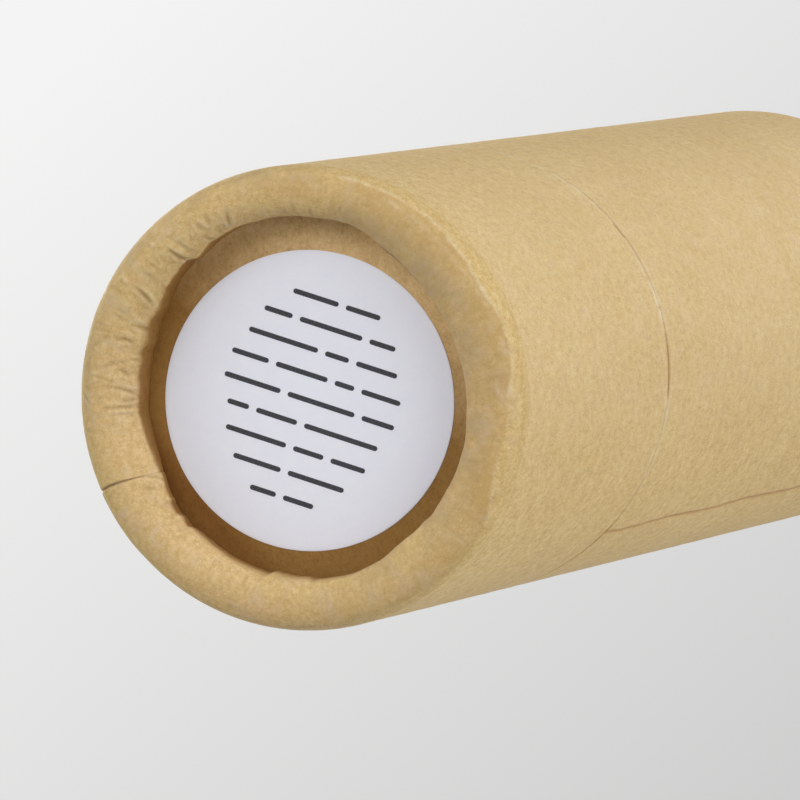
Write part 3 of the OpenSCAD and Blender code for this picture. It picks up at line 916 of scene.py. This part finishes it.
CAP_LIP = ((0, 160, 1), (120, 150, 1), (240, 165, 1))
CAP_PAINTED_LIGHT = ((0, 0, 0), (150, 0.3, 0.7), (240, 0.2, 0.2))
CAP_MOUTH = (
    (0, 0.3, 0.3), (90, 0.5, 0.1), (200, 0.5, 0.1), (238, 0.4, 0.3), (245, 0.3, 0.35),
    (262, 0.9, 0.1), (275, 0.1, 0.5), (286, 0.2, 0.45), (288, 0.8, 0), (320, 0.2, 0.1),
    (326, 0, 0.6), (345, 0, 0.6),
)
CAP_SCALLOPS = ((0, 90, 12, 0.05), (90, 180, 12, 0.05), (180, 264, 15, 0.1), (264, 358, 13, 0.05))
# Long ridges round the roll: sway and height, then directions with their rim angles
BASE_RIDGES = (
    (2.0, 1.0, ((200, 48), (213, 45), (219, 48), (223, 43), (228, 46), (232, 44), (236, 52))),
    (2.0, 0.9, ((232, 56), (242, 55), (246, 61), (252, 61), (257, 51), (262, 48), (268, 49),
        (273, 53), (281, 72))),
    (1.5, 0.7, ((276, 92), (280, 80), (282, 66), (286, 34))),
    (5.0, 0.35, ((212, 62), (240, 74), (262, 70))),
    (4.0, 0.40, ((296, 74), (301, 70), (304, 63), (309, 50), (313, 42))),
)
CAP_RIDGES = (
    (3.0, 0.9, ((40, 50), (70, 58), (100, 48), (130, 54))),
    (3.0, 0.6, ((230, 60), (262, 66), (300, 54))),
)


def base_soil_and_shade(theta, rim):
    """The greyish inner slope on one side of the rolled end, partly dirt and partly painted shade,
    and painted shade on its outside on the other.
    """
    side = 1 - smooth(np.abs(turn(theta, 270)), 62, 98)
    outside = 1 - smooth(np.abs(turn(theta, 142)), 38, 64)
    outside = outside * smooth(rim, 4, 32) * (1 - smooth(rim, 52, 82))
    return 0.62 * (side * smooth(rim, 84, 118) + outside)


def cap_soil(theta, rim):
    """The cap's greyish inner slope on one side."""
    return 0.45 * (1 - smooth(np.abs(turn(theta, 120)), 40, 90)) * smooth(rim, 70, 105)


BASE_PAPER = {
    "height": BASE_H, "turned": False, "seed": 11, "columns": 800,
    "rings": {"body": 56, "rim": 84, "leg": 12}, "seam": 76.0, "side": -1, "lap_width": 0.07,
    "strokes": BASE_STROKES, "marks": BASE_MARKS, "crumpled": BASE_CRUMPLED,
    "scallops": BASE_SCALLOPS, "lean": BASE_LEAN, "burnished": BASE_BURNISHED, "mouth": BASE_MOUTH,
    "lip": BASE_LIP, "painted_light": BASE_PAINTED_LIGHT, "ridges": BASE_RIDGES, "soil_and_shade": base_soil_and_shade,
}
CAP_PAPER = {
    "height": CAP_TOP - CAP_LOW, "turned": True, "seed": 47, "columns": 640,
    "rings": {"body": 80, "rim": 64, "leg": 10}, "seam": 326.0, "side": -1, "lap_width": 0.12,
    "strokes": CAP_STROKES, "marks": CAP_MARKS, "crumpled": CAP_CRUMPLED,
    "scallops": CAP_SCALLOPS, "lean": CAP_LEAN, "burnished": CAP_BURNISHED, "mouth": CAP_MOUTH,
    "lip": CAP_LIP, "painted_light": CAP_PAINTED_LIGHT, "ridges": CAP_RIDGES, "soil_and_shade": cap_soil,
}


def make_paper(body, node_name, name, spec, material):
    piece = paper_mesh(name, spec)
    piece.data.materials.append(material)
    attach(piece, body)
    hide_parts(node_name)


# The end label and its bars

# The label's face above its solid's, its edge's rounding, and the height of its unevenness
LABEL_LIFT = 0.07
LABEL_EDGE = 0.02
LABEL_WAVE = 0.006
LABEL_RINGS = 25
LABEL_COLUMNS = 256
# The bars' turn, rows and lengths, their width, and how far they stand off the face and reach below
LABEL_TILT = -62.5
ROW_PITCH = 1.08
BAR_SPACE = 0.34
BAR = 0.22
BAR_STEPS = 8
INK = 0.004
INK_ROOT = 0.02
LABEL_ROWS = (
    (2.1, 1.6), (1.3, 2.9, 1.2), (3.2, 1.1, 1.9), (1.7, 2.4, 0.9, 1.8), (2.6, 3.1, 1.5),
    (1.0, 1.9, 3.4), (2.8, 1.4, 1.6), (2.2, 2.6), (1.2, 1.4),
)
LABEL_X, LABEL_Y = [(LABEL_LOW[k] + LABEL_HIGH[k]) / 2 / MM for k in range(2)]
LABEL_R = (LABEL_HIGH[0] - LABEL_LOW[0]) / 2 / MM
LABEL_FACE = LABEL_LOW[2] / MM + LABEL_LIFT


def make_label(material):
    """The round label, as a thin disc that lies not quite flat."""
    bend = np.radians([0, 35, 65, 90])
    rows = LABEL_R * np.linspace(0.04, 1, LABEL_RINGS + 1)[:-1]
    rows = np.concatenate([rows, LABEL_R - LABEL_EDGE * (1 - np.sin(bend))])
    lift = np.concatenate([np.zeros(LABEL_RINGS), LABEL_EDGE * (1 - np.cos(bend))])
    u = np.arange(LABEL_COLUMNS) / LABEL_COLUMNS
    wave = layered(u[None, :], rows[:, None] * 0.35, 5, 91, 2)
    wave = LABEL_WAVE * (1 + wave * np.clip(rows[:, None] / LABEL_R, 0, 1))
    z = LABEL_FACE + np.maximum(0.0, wave) + lift[:, None]
    back = LABEL_HIGH[2] / MM
    rows = np.append(rows, LABEL_R)
    z = np.vstack([z, np.full(LABEL_COLUMNS, back)])
    x = LABEL_X + rows[:, None] * np.cos(2 * math.pi * u)
    y = LABEL_Y + rows[:, None] * np.sin(2 * math.pi * u)
    vertices = [(LABEL_X, LABEL_Y, LABEL_FACE + LABEL_WAVE)]
    vertices += np.stack([x, y, z], axis=-1).reshape(-1, 3).tolist()
    vertices.append((LABEL_X, LABEL_Y, back))
    faces = []
    for j in range(LABEL_COLUMNS):
        n = (j + 1) % LABEL_COLUMNS
        faces.append((0, 1 + n, 1 + j))
        for i in range(len(rows) - 1):
            b = 1 + i * LABEL_COLUMNS
            faces.append((b + j, b + n, b + LABEL_COLUMNS + n, b + LABEL_COLUMNS + j))
        b = 1 + (len(rows) - 1) * LABEL_COLUMNS
        faces.append((b + j, b + n, len(vertices) - 1))
    mesh = bpy.data.meshes.new("end_label")
    mesh.from_pydata((np.array(vertices) * MM).tolist(), [], faces)
    mesh.polygons.foreach_set("use_smooth", np.ones(len(faces), dtype=bool))
    mesh.materials.append(material)
    piece = place_object("end_label", mesh)
    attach(piece, "base")
    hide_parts("base_label")


def make_bars(material):
    """Plain rounded bars in rows on the label."""
    tilt = math.radians(LABEL_TILT)
    vertices, faces = [], []
    for row, lengths in enumerate(LABEL_ROWS):
        y = (row - (len(LABEL_ROWS) - 1) / 2) * ROW_PITCH
        x = -(sum(lengths) + BAR_SPACE * (len(lengths) - 1)) / 2
        for length in lengths:
            outline = []
            for side, at in ((1, x + length - BAR / 2), (-1, x + BAR / 2)):
                for k in range(BAR_STEPS + 1):
                    t = math.radians(-90 + 180 * k / BAR_STEPS)
                    outline.append((
                        at + side * BAR / 2 * math.cos(t), y + side * BAR / 2 * math.sin(t)))
            start, n = len(vertices), len(outline)
            for z in (LABEL_FACE - INK, LABEL_FACE + INK_ROOT):
                for px, py in outline:
                    turned_x = px * math.cos(tilt) - py * math.sin(tilt)
                    turned_y = px * math.sin(tilt) + py * math.cos(tilt)
                    vertices.append(((LABEL_X + turned_x) * MM, (LABEL_Y + turned_y) * MM, z * MM))
            faces.append([start + k for k in range(n)])
            faces.append([start + n + k for k in reversed(range(n))])
            for k in range(n):
                m = (k + 1) % n
                faces.append([start + k, start + n + k, start + n + m, start + m])
            x += length + BAR_SPACE
    mesh = bpy.data.meshes.new("label_bars")
    mesh.from_pydata(vertices, [], faces)
    mesh.validate()
    mesh.materials.append(material)
    piece = place_object("label_bars", mesh)
    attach(piece, "base")


kraft = facing_material("kraft_facing", KRAFT_TONES)
kraft_neck = plain_paper("kraft_neck", neck_place, KRAFT_TONES)
kraft_disc = recess_material("kraft_disc", DISC_TONES)
kraft_end = plain_paper("kraft_end", object_place, KRAFT_TONES)
board = plain_paper("raw_board", object_place, BOARD_TONES)
lining = plain_paper("lining_paper", neck_place, LINING_TONES)
plastic = soft_material("moulded_white", *PLASTIC)
wax = soft_material("balm_wax", *BALM)

make_paper("base", "base_wrap", "base_paper", BASE_PAPER, kraft)
make_paper("cap", "cap_wrap", "cap_paper", CAP_PAPER, kraft)
make_label(label_material())
make_bars(ink_material())

NODE_MATERIALS = {
    "base_tube": board, "base_liner": lining, "base_disc": kraft_disc, "neck_sleeve": kraft_neck,
    "cap_tube": board, "cap_liner": lining, "cap_disc": kraft_end, "barrel": plastic,
    "drive_screw": plastic, "elevator": plastic, "balm": wax,
}
for node_name, material in NODE_MATERIALS.items():
    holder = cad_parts[node_name]
    if not holder.material_slots:
        holder.data.materials.append(material)
    for material_slot in holder.material_slots:
        material_slot.material = material


# Camera at the photograph's angle, below the standing stick, in metres

CAMERA_PLACE = Vector((0.0, -0.15373, -0.49636))
CAMERA_FORWARD = Vector((0.0015934, 0.2879412, 0.9576468))
CAMERA_UP = Vector((-0.9835375, -0.1725930, 0.0535310))
LENS_MM = 549.8

camera_data = bpy.data.cameras.new("camera")
camera_data.lens = LENS_MM
camera_data.sensor_width = 36
camera_data.sensor_fit = "HORIZONTAL"
camera_data.clip_start = 0.01
camera = place_object("camera", camera_data)
side_axis = CAMERA_FORWARD.cross(CAMERA_UP).normalized()
up_axis = side_axis.cross(CAMERA_FORWARD).normalized()
camera_turn = Matrix((side_axis, up_axis, -CAMERA_FORWARD)).transposed().to_4x4()
camera.matrix_world = Matrix.Translation(CAMERA_PLACE) @ camera_turn
bpy.context.scene.camera = camera


# Light, backdrop and floor, in metres

LIGHT_TARGET = Vector((0, 0, 0.02))
LIGHT_DISTANCE = 0.5
LIGHT_SIZE = 0.30
# How far each light stands off the view's axis, its turn round that axis from the right, its power
LIGHTS = (
    ("right", 40, 0, 0.76), ("upper_left", 40, 135, 0.76),
    ("far_right", 72, 0, 0.78), ("far_up", 72, 90, 0.55), ("far_left", 72, 180, 0.58),
    ("far_down", 72, 270, 0.20), ("behind_right", 150, 20, 0.9), ("behind_left", 150, 150, 0.9),
    ("behind_low", 140, 270, 0.5),
)
WORLD_LIGHT = 0.125
BACKDROP_BRIGHT = (0.905, 0.905, 0.90)
BACKDROP_DIM = (0.62, 0.62, 0.615)
# The backdrop's change of tone: its direction up and across the view, and where it starts and ends
BACKDROP_UP, BACKDROP_ACROSS = 0.75, -0.66
BACKDROP_RANGE = (-0.045, 0.040)
FLOOR_HALF = 1.5
FLOOR_LIT = (0.80, 0.80, 0.80, 1)
FLOOR_EVEN = (0.68, 0.68, 0.675, 1)
# The floor is lit near the object and has an even tone from here on
FLOOR_BLEND = (0.05, 0.26)


def make_light(name, off_axis, around, power):
    """A soft box that looks at the object's middle."""
    data = bpy.data.lights.new(name, "AREA")
    data.shape = "DISK"
    data.size = LIGHT_SIZE
    data.energy = power
    lamp = place_object(name, data)
    lamp.visible_camera = False
    tilt, spin = math.radians(off_axis), math.radians(around)
    aside = (side_axis * math.cos(spin) + up_axis * math.sin(spin)) * math.sin(tilt)
    away = (-CAMERA_FORWARD * math.cos(tilt) + aside).normalized()
    lamp.location = LIGHT_TARGET + away * LIGHT_DISTANCE
    lamp.rotation_euler = away.to_track_quat("Z", "Y").to_euler()


def make_world():
    """An even light, and behind it a pale backdrop that only the camera and reflections see."""
    world = bpy.data.worlds.new("studio")
    bpy.context.scene.world = world
    world.use_nodes = True
    tree = world.node_tree
    tree.nodes.clear()
    direction = add(tree, "TexCoord").outputs["Generated"]
    fall = up_axis * BACKDROP_UP + side_axis * BACKDROP_ACROSS
    dot = add(tree, "VectorMath", {0: direction, 1: fall}, operation="DOT_PRODUCT")
    backdrop = spread(tree, dot.outputs["Value"], *BACKDROP_RANGE)
    backdrop = blend(tree, backdrop, BACKDROP_DIM, BACKDROP_BRIGHT)
    lit = add(tree, "Background", {"Color": (1, 1, 1, 1), "Strength": WORLD_LIGHT})
    seen = add(tree, "Background", {"Color": backdrop, "Strength": 1.0})
    rays = add(tree, "LightPath").outputs
    shown = calc(tree, "MAXIMUM", rays["Is Camera Ray"], rays["Is Transmission Ray"])
    shown = calc(tree, "MAXIMUM", shown, rays["Is Glossy Ray"])
    both = add(tree, "MixShader", {0: shown, 1: lit.outputs[0], 2: seen.outputs[0]})
    add(tree, "OutputWorld", {0: both.outputs[0]})


def make_floor():
    """A pale floor that shows from above only, so that the view from below sees the base."""
    x = y = FLOOR_HALF
    mesh = bpy.data.meshes.new("floor")
    mesh.from_pydata([(-x, -y, 0), (x, -y, 0), (x, y, 0), (-x, y, 0)], [], [(0, 1, 2, 3)])
    floor = place_object("floor", mesh)
    material, tree = start_material("floor")
    rays = add(tree, "LightPath").outputs
    here = add(tree, "NewGeometry").outputs
    front = calc(tree, "SUBTRACT", 1.0, here["Backfacing"])
    shown = times(tree, rays["Is Camera Ray"], front)
    clear = add(tree, "BsdfTransparent")
    lit = add(tree, "BsdfDiffuse", {"Color": FLOOR_LIT})
    even = add(tree, "Emission", {"Color": FLOOR_EVEN, "Strength": 1.0})
    away = add(tree, "VectorMath", {0: here["Position"]}, operation="LENGTH")
    far = spread(tree, away.outputs["Value"], *FLOOR_BLEND)
    solid = add(tree, "MixShader", {0: far, 1: lit.outputs[0], 2: even.outputs[0]})
    both = add(tree, "MixShader", {0: shown, 1: clear.outputs[0], 2: solid.outputs[0]})
    add(tree, "OutputMaterial", {0: both.outputs[0]})
    mesh.materials.append(material)


for light in LIGHTS:
    make_light(*light)
make_world()
make_floor()
bpy.context.scene.view_settings.view_transform = "Standard"
